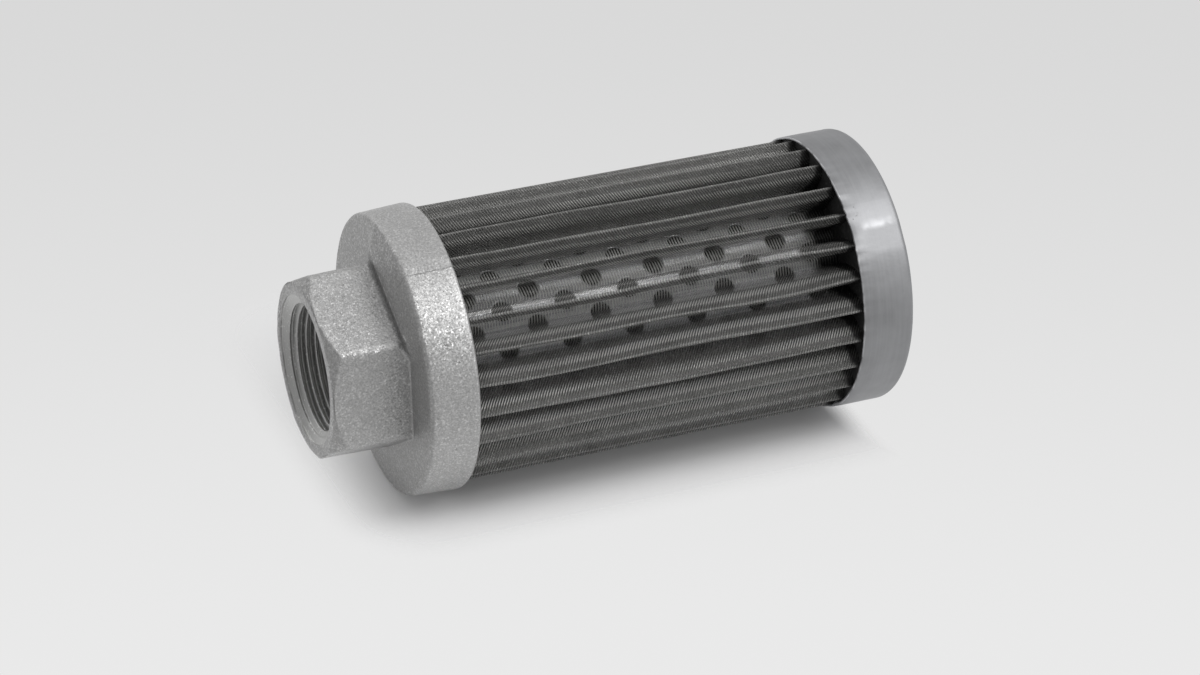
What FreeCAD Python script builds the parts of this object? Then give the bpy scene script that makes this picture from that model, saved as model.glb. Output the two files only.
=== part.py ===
import FreeCAD, Part
import math
import os
from FreeCAD import Vector

# Suction strainer for a hydraulic tank, in millimetres.
# It stands on its pressed end cap with the threaded port upwards: the axis is Z, the
# origin is the centre of the cap's underside. Oil enters through the pleated wire cloth,
# passes the perforated core tube and leaves through the hexagonal port of the cast head.

# Pleated wire cloth
PLEAT_COUNT = 26
PLEAT_TIP_R = 33.3
PLEAT_PHASE = 9.35
CLOTH_SHEET = 0.45
TIP_FOLD_R = 0.62
ROOT_FOLD_R = 0.95
CLOTH_OFF_CORE = 0.3
CLOTH_END_GAP = 3.0
EXPOSED_LENGTH = 98.8

# Seam clip that holds the two ends of the wire cloth together
CLIP_SHEET = 0.4
CLIP_DEPTH = 6.5
CLIP_END_GAP = 0.6
CLIP_PLEAT = 5

# Perforated core tube
CORE_OUTER_R = 20.7
CORE_SHEET = 0.8
HOLE_DIA = 4.6
HOLE_COLUMNS = 14
HOLE_ROW_PITCH = 8.03
HOLE_PHASE = 17.3
HOLE_END_MARGIN = 0.6
HOLE_SIDES = 8

# Pressed steel end cap
CAP_SHEET = 0.6
CAP_HEIGHT = 13.6
CAP_EDGE_R = 1.4
CAP_LIP_R = 0.3
PLEAT_GAP = 0.2
DISH_DEPTH = 2.6
DISH_DRAFT = 0.8
DISH_FIT = 0.15

# Cast head
HEAD_WALL = 1.5
RIM_HEIGHT = 13.0
RIM_DRAFT = 0.6
RIM_EDGE_R = 2.4
RIM_REAR_R = 1.0
FACE_RISE = 1.4
FACE_MARGIN = 1.0
FACE_BLEND_R = 4.0
RECESS_DEPTH = 8.0
SEAT_DEPTH = 3.0
SEAT_FIT = 0.1
HEX_HEIGHT = 17.2
HEX_FLATS = 42.2
HEX_CORNER_R = 1.6
HEX_TURN = 33.0
HEX_ROOT_R = 0.8
HEX_CROWN_R = 21.0
HEX_CROWN_SLOPE = 36.0
HEX_CROWN_EDGE_R = 1.0

# Port thread, one inch parallel pipe thread; the bore is its crest
PORT_R = 15.145
PORT_MOUTH_R = 17.5
PORT_MOUTH_SLOPE = 45.0

# Largest turn that one chord of a rounding takes, in radians. A rounding also has no more
# chords than its radius has millimetres.
CHORD_TURN = math.pi / 6

# Potting compound in the cap and in the head
CAP_POTTING_BELOW_LIP = 0.6
HEAD_POTTING_BELOW_RIM = 1.6

# Sizes and levels that follow from the ones above
CORE_INNER_R = CORE_OUTER_R * math.cos(math.pi / (2 * HOLE_COLUMNS)) - CORE_SHEET
ROOT_R = CORE_OUTER_R + CLOTH_OFF_CORE
CAP_INNER_R = PLEAT_TIP_R + PLEAT_GAP
CAP_OUTER_R = CAP_INNER_R + CAP_SHEET
RECESS_R = PLEAT_TIP_R + PLEAT_GAP
HEAD_R = RECESS_R + HEAD_WALL
HEAD_BASE_Z = CAP_HEIGHT + EXPOSED_LENGTH
RECESS_Z = HEAD_BASE_Z + RECESS_DEPTH
SEAT_Z = RECESS_Z + SEAT_DEPTH
RIM_Z = HEAD_BASE_Z + RIM_HEIGHT
FACE_Z = RIM_Z + FACE_RISE
HEAD_TOP_Z = FACE_Z + HEX_HEIGHT
FACE_R = HEX_FLATS / math.sqrt(3) + HEX_ROOT_R + FACE_MARGIN
MOUTH_Z = HEAD_TOP_Z - (PORT_MOUTH_R - PORT_R) / math.tan(math.radians(PORT_MOUTH_SLOPE))
CAP_POTTING_Z = CAP_HEIGHT - CAP_POTTING_BELOW_LIP
HEAD_POTTING_Z = HEAD_BASE_Z + HEAD_POTTING_BELOW_RIM
CLOTH_LOW_Z = CAP_SHEET + CLOTH_END_GAP
CLOTH_HIGH_Z = RECESS_Z - CLOTH_END_GAP

# Points of a fold from its tip to the next root, in order
FOLD_ORDER = ("tip", "flank_out", "flank_in", "root")


def rounded(corners):
    """Closed wire through (x, y, radius) corners, each rounded by a few chords of its arc."""
    points = [Vector(x, y, 0) for x, y, radius in corners]
    outline = []
    for i, (x, y, radius) in enumerate(corners):
        here = points[i]
        back = (points[i - 1] - here).normalize()
        ahead = (points[(i + 1) % len(points)] - here).normalize()
        half_angle = back.getAngle(ahead) / 2
        middle = (back + ahead).normalize()
        centre = here + middle * (radius / math.sin(half_angle))
        start = here + back * (radius / math.tan(half_angle)) - centre
        end = here + ahead * (radius / math.tan(half_angle)) - centre
        turn = math.pi - 2 * half_angle
        chords = min(math.ceil(turn / CHORD_TURN), math.ceil(radius))
        for step in range(chords + 1):
            share = step / chords if chords else 0
            near = math.sin(turn * (1 - share)) / math.sin(turn)
            far = math.sin(turn * share) / math.sin(turn)
            outline.append(centre + start * near + end * far)
    return Part.makePolygon(outline + outline[:1])


def turned(corners):
    """Solid of revolution about Z from (radius, height, rounding) corners."""
    face = Part.Face(rounded(corners))
    face.rotate(Vector(0, 0, 0), Vector(1, 0, 0), 90)
    return face.revolve(Vector(0, 0, 0), Vector(0, 0, 1), 360)


def prism(outer, low_z, high_z, inner=None):
    """Upright solid from low_z to high_z over a wire, with an optional hole."""
    wires = [outer, inner] if inner else [outer]
    face = Part.makeFace(wires, "Part::FaceMakerBullseye")
    face.translate(Vector(0, 0, low_z))
    return face.extrude(Vector(0, 0, high_z - low_z))


def polar(radius, degrees):
    """Point of the XY plane at a radius and an angle."""
    angle = math.radians(degrees)
    return Vector(radius * math.cos(angle), radius * math.sin(angle), 0)


def fold_points(offset, tip_angle):
    """Points of half a pleat, from the tip to the next root, for one side of the cloth.

    The cloth's middle line is a small round fold at the tip, a straight flank and a wider
    fold at the root. offset moves the side outwards from that line. Each fold is drawn by
    the chords from its middle to the points where the flanks leave it.
    """
    half_pitch = 180.0 / PLEAT_COUNT
    tip_mid_r = TIP_FOLD_R - CLOTH_SHEET / 2
    root_mid_r = ROOT_FOLD_R - CLOTH_SHEET / 2
    tip_centre = polar(PLEAT_TIP_R - TIP_FOLD_R, tip_angle)
    root_centre = polar(ROOT_R + ROOT_FOLD_R, tip_angle + half_pitch)
    span = root_centre - tip_centre
    cross_angle = math.asin((tip_mid_r + root_mid_r) / span.Length)
    along = math.atan2(span.y, span.x)
    side = polar(1, math.degrees(along + cross_angle) - 90)
    tip_radius = tip_mid_r + offset
    root_radius = root_mid_r - offset
    tip_out = polar(1, tip_angle)
    root_in = polar(-1, tip_angle + half_pitch)
    return {
        "tip": tip_centre + tip_out * tip_radius,
        "flank_out": tip_centre + side * tip_radius,
        "flank_in": root_centre - side * root_radius,
        "root": root_centre + root_in * root_radius,
    }


def mirrored(points, axis_angle):
    """The same points on the other side of the line at axis_angle."""
    axis = polar(1, axis_angle)
    return {name: axis * (2 * axis.dot(p)) - p for name, p in points.items()}


def cloth_side(offset):
    """Closed wire round all the pleats, at an offset from the cloth's middle line."""
    pitch = 360.0 / PLEAT_COUNT
    outline = []
    for pleat in range(PLEAT_COUNT):
        angle = PLEAT_PHASE + pleat * pitch
        here = fold_points(offset, angle)
        after = mirrored(fold_points(offset, angle + pitch), angle + pitch)
        outline += [here[name] for name in FOLD_ORDER]
        outline += [after[name] for name in FOLD_ORDER[-2:0:-1]]
    return Part.makePolygon(outline + outline[:1])


def make_wire_cloth():
    """The wire cloth: one sheet folded into pleats and closed to a ring."""
    outer = cloth_side(CLOTH_SHEET / 2)
    inner = cloth_side(-CLOTH_SHEET / 2)
    return prism(outer, CLOTH_LOW_Z, CLOTH_HIGH_Z, inner)


def make_seam_clip():
    """A folded strip over one pleat tip, where the ends of the cloth meet."""
    angle = PLEAT_PHASE + CLIP_PLEAT * 360.0 / PLEAT_COUNT
    under = fold_points(CLOTH_SHEET / 2, angle)
    over = fold_points(CLOTH_SHEET / 2 + CLIP_SHEET, angle)
    flank = (under["flank_in"] - under["flank_out"]).normalize() * CLIP_DEPTH
    outline = []
    for points, order in ((over, 1), (under, -1)):
        points["end"] = points["flank_out"] + flank
        other = mirrored(points, angle)
        run = [other["end"], other["flank_out"], points["tip"],
               points["flank_out"], points["end"]]
        outline += run[::order]
    outline = Part.makePolygon(outline + outline[:1])
    return prism(outline, CAP_HEIGHT + CLIP_END_GAP, HEAD_BASE_Z - CLIP_END_GAP)


def hole_rows():
    """Heights of the perforation rows, centred between the two pottings."""
    free = HEAD_POTTING_Z - CAP_POTTING_Z - HOLE_DIA - 2 * HOLE_END_MARGIN
    count = int(free / HOLE_ROW_PITCH) + 1
    middle = (HEAD_POTTING_Z + CAP_POTTING_Z) / 2
    first = middle - (count - 1) * HOLE_ROW_PITCH / 2
    return [first + row * HOLE_ROW_PITCH for row in range(count)]


def core_outline(inset):
    """Many-sided outline of the core tube: one narrow flat for each line of holes."""
    flats = 2 * HOLE_COLUMNS
    half_flat = 180.0 / flats
    radius = CORE_OUTER_R - inset / math.cos(math.radians(half_flat))
    points = [polar(radius, HOLE_PHASE + (2 * i + 1) * half_flat) for i in range(flats)]
    return Part.makePolygon(points + points[:1])


def hole_punch(angle, height):
    """Many-sided punch for one hole, pointing outwards at an angle."""
    out = polar(1, angle)
    side = polar(1, angle + 90)
    half_side = math.pi / HOLE_SIDES
    corner_r = HOLE_DIA / 2 / math.cos(half_side)
    base = out * (CORE_OUTER_R - 2 * CORE_SHEET) + Vector(0, 0, height)
    points = []
    for i in range(HOLE_SIDES):
        turn = (2 * i + 1) * half_side
        points.append(base + (side * math.cos(turn) + Vector(0, 0, math.sin(turn))) * corner_r)
    return Part.Face(Part.makePolygon(points + points[:1])).extrude(out * (3 * CORE_SHEET))


def make_core_tube():
    """Perforated tube that carries the cloth; its rows of holes are staggered."""
    tube = prism(core_outline(0), CAP_SHEET, SEAT_Z, core_outline(CORE_SHEET))
    column_pitch = 360.0 / HOLE_COLUMNS
    punches = []
    for row, height in enumerate(hole_rows()):
        for column in range(HOLE_COLUMNS):
            angle = HOLE_PHASE + (column + (row % 2) / 2) * column_pitch
            punches.append(hole_punch(angle, height))
    return tube.cut(Part.makeCompound(punches))


def make_end_cap():
    """Pressed cup with a dish in its floor that centres the core tube."""
    dish_r = CORE_INNER_R - DISH_FIT
    return turned([
        (0, DISH_DEPTH, 0),
        (dish_r - CAP_SHEET - DISH_DRAFT, DISH_DEPTH, 0),
        (dish_r - CAP_SHEET, 0, 0),
        (CAP_OUTER_R, 0, CAP_EDGE_R),
        (CAP_OUTER_R, CAP_HEIGHT, CAP_LIP_R),
        (CAP_INNER_R, CAP_HEIGHT, 0),
        (CAP_INNER_R, CAP_SHEET, CAP_EDGE_R - CAP_SHEET),
        (dish_r, CAP_SHEET, 0),
        (dish_r - DISH_DRAFT, DISH_DEPTH + CAP_SHEET, 0),
        (0, DISH_DEPTH + CAP_SHEET, 0),
    ])


def make_potting(low_z, high_z, low_corner_r, cloth):
    """Ring of compound between the core tube and a wall, round the ends of the pleats."""
    ring = turned([
        (CORE_INNER_R, low_z, 0),
        (RECESS_R, low_z, low_corner_r),
        (RECESS_R, high_z, 0),
        (CORE_INNER_R, high_z, 0),
    ])
    core = prism(core_outline(0), low_z, high_z)
    return ring.cut(core).cut(cloth)


def hexagon():
    """Hexagon of the spanner flats with rounded corners."""
    corner_r = HEX_FLATS / math.sqrt(3)
    corners = [polar(corner_r, HEX_TURN + 60 * i) for i in range(6)]
    return rounded([(p.x, p.y, HEX_CORNER_R) for p in corners])


def make_head():
    """Cast head: flanged cup, hexagon with a turned crown, and the port bore."""
    corner_r = HEX_FLATS / math.sqrt(3)
    slope = math.tan(math.radians(HEX_CROWN_SLOPE))
    crown_low_z = HEAD_TOP_Z - (corner_r - HEX_CROWN_R) * slope
    seat_r = CORE_OUTER_R + SEAT_FIT
    flange = turned([
        (0, HEAD_BASE_Z, 0),
        (HEAD_R, HEAD_BASE_Z, RIM_REAR_R),
        (HEAD_R - RIM_DRAFT, RIM_Z, RIM_EDGE_R),
        (FACE_R, FACE_Z, FACE_BLEND_R),
        (0, FACE_Z, 0),
    ])
    boss = prism(hexagon(), RECESS_Z, HEAD_TOP_Z)
    crown = turned([
        (0, RECESS_Z, 0),
        (corner_r, RECESS_Z, 0),
        (corner_r, crown_low_z, 0),
        (HEX_CROWN_R, HEAD_TOP_Z, HEX_CROWN_EDGE_R),
        (0, HEAD_TOP_Z, 0),
    ])
    body = flange.fuse(boss.common(crown)).removeSplitter()
    root = [edge for edge in body.Edges
            if abs(edge.BoundBox.ZMin - FACE_Z) < 1e-4 and abs(edge.BoundBox.ZMax - FACE_Z) < 1e-4
            and max(math.hypot(v.X, v.Y) for v in edge.Vertexes) < corner_r]
    body = body.makeFillet(HEX_ROOT_R, root)
    inside = turned([
        (0, HEAD_BASE_Z - CAP_HEIGHT, 0),
        (RECESS_R, HEAD_BASE_Z - CAP_HEIGHT, 0),
        (RECESS_R, RECESS_Z, 0),
        (seat_r, RECESS_Z, 0),
        (seat_r, SEAT_Z, 0),
        (PORT_R, SEAT_Z, 0),
        (PORT_R, MOUTH_Z, 0),
        (PORT_MOUTH_R, HEAD_TOP_Z, 0),
        (PORT_MOUTH_R, HEAD_TOP_Z + HEX_HEIGHT, 0),
        (0, HEAD_TOP_Z + HEX_HEIGHT, 0),
    ])
    return body.cut(inside)


def main():
    cloth = make_wire_cloth()
    parts = {
        "cast_head": make_head(),
        "pleated_wire_cloth": cloth,
        "seam_clip": make_seam_clip(),
        "perforated_core_tube": make_core_tube(),
        "pressed_end_cap": make_end_cap(),
        "cap_potting": make_potting(CAP_SHEET, CAP_POTTING_Z, CAP_EDGE_R - CAP_SHEET, cloth),
        "head_potting": make_potting(HEAD_POTTING_Z, RECESS_Z, 0, cloth),
    }
    os.makedirs("parts", exist_ok=True)
    for name, shape in parts.items():
        box = shape.BoundBox
        print(name, "valid", shape.isValid(), "solids", len(shape.Solids),
              "volume", round(shape.Volume, 1), "z", round(box.ZMin, 2), round(box.ZMax, 2),
              "width", round(box.XLength, 2))
        shape.exportStep("parts/" + name + ".step")


main()
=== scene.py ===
# %% [markdown]
# # A tank strainer for hydraulic oil
# The part is a suction filter: a cast head with a pipe thread, a ring of pleated wire cloth
# round a perforated tube, and a pressed end cap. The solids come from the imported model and
# already have their real sizes, so this file only gives each piece its surface, its finish
# and the light and camera of the picture.

# %% Load the solids
import math
from collections import Counter
import bpy
import bmesh
from mathutils import Matrix, Vector, noise


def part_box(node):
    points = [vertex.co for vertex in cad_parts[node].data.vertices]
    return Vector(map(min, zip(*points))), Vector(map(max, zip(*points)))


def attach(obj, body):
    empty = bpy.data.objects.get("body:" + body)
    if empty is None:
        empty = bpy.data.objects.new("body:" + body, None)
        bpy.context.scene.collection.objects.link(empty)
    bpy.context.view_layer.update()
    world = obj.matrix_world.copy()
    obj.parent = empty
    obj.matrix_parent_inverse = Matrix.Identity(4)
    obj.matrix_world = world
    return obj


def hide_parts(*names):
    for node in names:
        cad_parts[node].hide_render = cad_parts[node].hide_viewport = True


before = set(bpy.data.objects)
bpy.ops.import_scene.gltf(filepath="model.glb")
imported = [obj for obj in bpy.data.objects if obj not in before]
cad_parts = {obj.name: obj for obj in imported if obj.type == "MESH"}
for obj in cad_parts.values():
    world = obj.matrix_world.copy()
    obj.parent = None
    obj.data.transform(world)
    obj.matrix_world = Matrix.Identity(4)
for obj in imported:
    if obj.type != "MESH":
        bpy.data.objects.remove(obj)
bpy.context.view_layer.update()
print("solids:", sorted(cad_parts))

# %% [markdown]
# Blender works in metres and the drawing in millimetres, so one factor turns one into the
# other. Heights that the solids already hold are read from them. The few sizes that cannot
# be read from a box are written here once, under the names that the drawing uses. The finishes
# count in millimetres and degrees, so the last five values are written in those.

# %% Sizes in metres
MM = 0.001
CAP_LOW, CAP_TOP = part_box("pressed_end_cap")[0][2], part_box("pressed_end_cap")[1][2]
HEAD_LOW, HEAD_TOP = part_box("cast_head")[0][2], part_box("cast_head")[1][2]
CLOTH_LOW, CLOTH_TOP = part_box("pleated_wire_cloth")[0][2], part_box("pleated_wire_cloth")[1][2]
CORE_LOW, CORE_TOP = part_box("perforated_core_tube")[0][2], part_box("perforated_core_tube")[1][2]
CAP_POTTING_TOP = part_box("cap_potting")[1][2]
HEAD_POTTING_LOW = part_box("head_potting")[0][2]
CAP_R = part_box("pressed_end_cap")[1][0]
HEAD_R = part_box("cast_head")[1][0]
RECESS_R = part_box("cap_potting")[1][0]
CORE_R = 20.7 * MM
CORE_SHEET = 0.8 * MM
PLEATS = 26
PLEAT_PHASE = math.radians(9.35)
PLEAT_TIP_R = 33.3 * MM
HOLE_COLUMNS = 14
HOLE_ROWS = 12
HOLE_PITCH = 8.03 * MM
HOLE_R = 2.42 * MM
HOLE_PHASE = math.radians(17.3)
PARTING_ANGLE = -121
CREASE_ANGLE = -136.5
TWILL = 0.71
TWILL_SLANT = 9.5
WIRE_STEP = 0.25
print("height of the filter", round((HEAD_TOP - CAP_LOW) / MM, 2), "mm")

# %% [markdown]
# A finish or a Geometry Nodes tree is a graph of small nodes. Writing one node at a time is
# long, so a class wraps an output socket and lets ordinary sums be written on it: `1 - mask`
# adds a Math node. Every other node comes from one method, `node`.

# %% Values that can be summed
class Value:
    """An output socket. Sums, products and powers of values add Math nodes."""

    def __init__(self, graph, socket):
        self.graph = graph
        self.socket = socket

    def calc(self, operation, *others):
        """A Math node that takes this value first and the others after it."""
        return self.graph.node("ShaderNodeMath", (self, *others), operation=operation)

    def __add__(self, other):
        return self.calc("ADD", other)

    __radd__ = __add__

    def __sub__(self, other):
        return self.calc("SUBTRACT", other)

    def __rsub__(self, other):
        return self.graph.node("ShaderNodeMath", (other, self), operation="SUBTRACT")

    def __mul__(self, other):
        return self.calc("MULTIPLY", other)

    __rmul__ = __mul__

    def __truediv__(self, other):
        return self.calc("DIVIDE", other)

    def __pow__(self, other):
        return self.calc("POWER", other)

    def smooth(self, low, high):
        """0 below low, 1 above high and a smooth step between."""
        ends = {"Value": self, "From Min": low, "From Max": high}
        return self.graph.node("ShaderNodeMapRange", ends, interpolation_type="SMOOTHSTEP")

    def within(self, rise, fall):
        """0 before the first span, 1 between the two spans and 0 again after the second."""
        return self.smooth(*rise) * (1.0 - self.smooth(*fall))

    def axis(self, index):
        """One coordinate of a vector."""
        return self.graph.node("ShaderNodeSeparateXYZ", [self], output=index)


print("values can be summed")

# %% Graphs
MIX_SHARE, MIX_FIRST, MIX_SECOND, MIX_RESULT = 0, 6, 7, 2


class Graph:
    """A node tree with one method that makes every node."""

    def __init__(self, tree):
        self.tree = tree

    def node(self, kind, values=(), output=0, **settings):
        """Makes a node, sets it up, feeds its sockets and returns one of its outputs."""
        made = self.tree.nodes.new(kind)
        for name, setting in settings.items():
            setattr(made, name, setting)
        pairs = values.items() if isinstance(values, dict) else enumerate(values)
        for key, value in pairs:
            self.feed(made.inputs[key], value)
        return Value(self, made.outputs[output]) if made.outputs else made

    def feed(self, socket, value):
        """Links a value to a socket, or sets the socket to a constant."""
        if isinstance(value, Value):
            self.tree.links.new(value.socket, socket)
        else:
            socket.default_value = value

    def vector(self, operation, *values):
        return self.node("ShaderNodeVectorMath", values, operation=operation)

    def dot(self, vector, direction):
        """How far a vector reaches along a direction."""
        return self.node("ShaderNodeVectorMath", (vector, direction), "Value", operation="DOT_PRODUCT")

    def length(self, vector):
        return self.node("ShaderNodeVectorMath", [vector], "Value", operation="LENGTH")

    def blend(self, share, first, second):
        """A colour between two colours."""
        colours = {MIX_SHARE: share, MIX_FIRST: first, MIX_SECOND: second}
        return self.node("ShaderNodeMix", colours, MIX_RESULT, data_type="RGBA")

    def tinted(self, shade, tint=(1, 1, 1)):
        """A grey of a given shade, with a slight tint."""
        return self.node("ShaderNodeCombineColor", [shade * share for share in tint])


print("graphs can be written")

# %% Finishes
class Finish(Graph):
    """A material: one Principled shader and the nodes that feed it."""

    def __init__(self, name, **constants):
        self.material = bpy.data.materials.new(name)
        self.material.use_nodes = True
        super().__init__(self.material.node_tree)
        self.shader = next(n for n in self.tree.nodes if n.type == "BSDF_PRINCIPLED")
        for label, value in constants.items():
            self.set(label, value)
        place = self.node("ShaderNodeTexCoord", output="Object")
        self.place_mm = self.vector("MULTIPLY", place, (1 / MM, 1 / MM, 1 / MM))

    def set(self, socket, value):
        self.feed(self.shader.inputs[socket], value)

    def toward(self, degrees):
        """How far a spot lies from the axis in the direction of an angle."""
        angle = math.radians(degrees)
        return self.dot(self.place_mm, (math.cos(angle), math.sin(angle), 0))

    def from_axis(self):
        """Distance of a spot from the filter's axis."""
        return self.length(self.vector("MULTIPLY", self.place_mm, (1, 1, 0)))

    def grain(self, per_mm, detail=2, roughness=0.5, squeeze=None):
        """Soft noise, with about per_mm lumps in a millimetre. Squeeze scales it along each axis."""
        where = self.vector("MULTIPLY", self.place_mm, squeeze) if squeeze else self.place_mm
        return self.node("ShaderNodeTexNoise", {"Vector": where, "Scale": per_mm,
                                                "Detail": detail, "Roughness": roughness})

    def relief(self, height, depth_mm, normal=None):
        """Shades a height as if the surface rose and fell by depth_mm."""
        values = {"Height": height, "Strength": 1.0, "Distance": depth_mm * MM}
        if normal:
            values["Normal"] = normal
        self.set("Normal", self.node("ShaderNodeBump", values))


print("finishes can be written")

# %% [markdown]
# ## Cast aluminium
# The head is sand-blasted after casting. Its skin is a field of tiny facets that each lean
# their own way, so some flash and others stay grey. Voronoi cells of about 0.4 and 0.2 mm give
# every facet its own tilt, and a softer noise gives the skin its lumps. Marks are found by their
# place. Casting and handling leave a parting line down the rim and edges that have chipped.
# The base of the hexagon's top side is smoother, and darker by a painted shade where the hexagon
# shades the face. A thin trace of lighter flecks runs beside it.
# The named spans say where a mark starts and where it is full. The plain numbers in a sum are
# its recipe: how much each pattern lightens, darkens or smooths the finish.

# %% Cast skin
QUARTER = 90
HEX_SIDES = (63, 123, 183)
TOP_SIDE = -117
FOOT_TOP, FOOT_REACH, FOOT_SIDE = (127.1, 128.0), (23.4, 24.4), (20.2, 20.9)
TRACE_REACH = (24.0, 24.3), (24.5, 24.9)
TRACE_HEIGHT = (126.0, 126.3), (127.0, 127.4)
PARTING_WANDER = 0.9
PARTING_WIDTH = (0.08, 0.34)
PARTING_SIDE = (30.0, 31.0)


def hexagon_distance(skin):
    """How far a spot lies from the axis, measured square to the hexagon's nearest side."""
    first, second, third = (skin.toward(side).calc("ABSOLUTE") for side in HEX_SIDES)
    return first.calc("MAXIMUM", second).calc("MAXIMUM", third)


def foot_marks(skin, height):
    """Masks of the base of the hexagon's top side, smoother and in painted shade, and of the trace by it."""
    above = skin.toward(TOP_SIDE)
    shaded_foot = (1.0 - height.smooth(*FOOT_TOP)) * (1.0 - hexagon_distance(skin).smooth(*FOOT_REACH))
    trace = above.within(*TRACE_REACH) * height.within(*TRACE_HEIGHT)
    return shaded_foot * above.smooth(*FOOT_SIDE), trace * skin.grain(0.7).smooth(0.48, 0.60)


def parting_line(skin):
    """Mask of the thin wandering line where the halves of the mould met."""
    wander = (skin.grain(0.5, detail=3) - 0.5) * PARTING_WANDER
    off_line = (skin.toward(PARTING_ANGLE + QUARTER) + wander).calc("ABSOLUTE")
    return (1.0 - off_line.smooth(*PARTING_WIDTH)) * skin.toward(PARTING_ANGLE).smooth(*PARTING_SIDE)


print("marks of the casting: foot, trace and parting line")

# %% Facets and colour of the cast skin
FACETS_PER_MM, FINE_FACETS_PER_MM = 2.7, 5.2
HEXAGON_Z = (127.5, 129.0)
RIM_EDGE_R, RIM_EDGE_Z = (32.9, 33.7), (124.3, 124.9)
CROWN_EDGE_Z = (141.6, 142.6)


def voronoi(skin, per_mm):
    """Small cells, each with one random colour."""
    return skin.node("ShaderNodeTexVoronoi", {"Vector": skin.place_mm, "Scale": per_mm}, "Color")


def facet_lean(skin, facets, amount):
    """The surface's normal, with each facet leaning its own way."""
    mixed = skin.blend(0.45, facets, voronoi(skin, FINE_FACETS_PER_MM))
    tilt = skin.vector("SUBTRACT", mixed, (0.5, 0.5, 0.5))
    tilt = skin.node("ShaderNodeVectorMath", {0: tilt, "Scale": amount}, operation="SCALE")
    upright = skin.node("ShaderNodeNewGeometry", output="Normal")
    return skin.vector("NORMALIZE", skin.vector("ADD", upright, tilt))


def cast_skin():
    skin = Finish("shot_blasted_aluminium", Metallic=0.9, Roughness=0.5)
    height = skin.place_mm.axis(2)
    shaded_foot, trace = foot_marks(skin, height)
    line = parting_line(skin)
    facets = voronoi(skin, FACETS_PER_MM)
    lean = facet_lean(skin, facets, 0.42 + height.smooth(*HEXAGON_Z) * 0.22 - shaded_foot * 0.30)
    lumps = skin.grain(1.1, detail=4, roughness=0.65)
    pits = skin.grain(0.8).smooth(0.70, 0.76)
    skin.relief(lumps + line * 0.8 - pits * 1.2, 0.10, lean)
    blotch = skin.grain(0.09, detail=3)
    flash = facets.axis(0).smooth(0.72, 0.95)
    dots = skin.grain(2.4, detail=3).smooth(0.35, 0.65)
    rim_edge = skin.from_axis().smooth(*RIM_EDGE_R) * height.smooth(*RIM_EDGE_Z)
    edges = rim_edge + height.smooth(*CROWN_EDGE_Z) * 0.6
    chips = edges * skin.grain(0.9, detail=3).smooth(0.54, 0.64)
    shade = 0.36 + blotch * 0.10 + dots * 0.12 + flash * 0.13
    # The last term is a painted shade at the base of the hexagon's top side, where the hexagon shades the
    # face.
    shade = shade + trace * 0.30 + chips * 0.16 - line * 0.10 - pits * 0.10 - shaded_foot * 0.20
    skin.set("Base Color", skin.tinted(shade, (1.003, 1, 0.995)))
    skin.set("Roughness", 0.45 - flash * 0.09 + blotch * 0.06)
    return skin.material


CAST = cast_skin()
print("finish:", CAST.name)

# %% [markdown]
# The thread, its lead-in and the core tube's seat are cut after casting, so they are brighter
# and smoother than the skin. The tool leaves fine rings round the axis. A noise that is
# stretched across the axis and squeezed along it draws them.

# %% Machined aluminium
def machined_skin():
    skin = Finish("machined_aluminium", Metallic=1.0, Roughness=0.3)
    rings = skin.grain(1.0, detail=3, squeeze=(0.25, 0.25, 9.0))
    # Scattered specks are painted lighter as glints; they are also smoother and raised a little.
    glint_specks = skin.grain(1.3, detail=3, roughness=0.7).smooth(0.58, 0.68)
    skin.set("Base Color", skin.tinted(0.46 + rings * 0.18 + glint_specks * 0.30, (1, 1, 0.985)))
    skin.set("Roughness", 0.30 + rings * 0.16 - glint_specks * 0.10)
    skin.relief(rings + glint_specks * 0.8, 0.04)
    return skin.material


MACHINED = machined_skin()
print("finish:", MACHINED.name)

# %% [markdown]
# ## Plated steel
# The cap, the core tube and the seam clip are thin sheet with a zinc coat: a slightly blue
# grey, quite smooth, with faint draw marks and a cloudy sheen. The cap also has a shallow flat,
# a touch lighter, with a soft painted highlight along the bend at its edge, a lip that is lighter
# and smoother, and a few pits. The core's inner side is painted nearly black, a painted shade
# that keeps its far wall dark behind the holes.

# %% Marks of the press
LIP_Z = CAP_TOP / MM
CREASE_SIDE = (30.0, 32.0)
WALL_HEIGHT = (1.2, 3.0), (LIP_Z - 4.5, LIP_Z - 2.5)
CREASE_HIGHLIGHT_WIDTH = (-1.2, 0.2), (-0.4, 2.4)
FLAT_WIDTH = (-0.4, 0.0), (6.0, 6.4)
LIP_BAND = (LIP_Z - 0.5, LIP_Z - 0.2)
NEAR_LIP = (LIP_Z - 5.0, LIP_Z - 1.0)


def press_marks(skin):
    """Masks of the painted highlight at the flat's bend, of the flat, of the lip and of the pits near it."""
    height = skin.place_mm.axis(2)
    off_bend = skin.toward(CREASE_ANGLE + QUARTER)
    this_side = skin.toward(CREASE_ANGLE).smooth(*CREASE_SIDE)
    wall = height.within(*WALL_HEIGHT) * this_side
    crease_highlight = (off_bend + skin.grain(0.25) - 0.5).within(*CREASE_HIGHLIGHT_WIDTH)
    crease_highlight = crease_highlight * wall * skin.grain(0.3).smooth(0.25, 0.6)
    flat = off_bend.within(*FLAT_WIDTH) * this_side
    pits = skin.grain(1.1).smooth(0.62, 0.68) * height.smooth(*NEAR_LIP) * flat
    return crease_highlight, flat * wall, height.smooth(*LIP_BAND), pits


print("marks of the press: crease, flat, lip and pits")

# %% Plated sheet
INSIDE_SHADE = 0.015
INSIDE_SHADE_EDGE = 0.3


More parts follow.
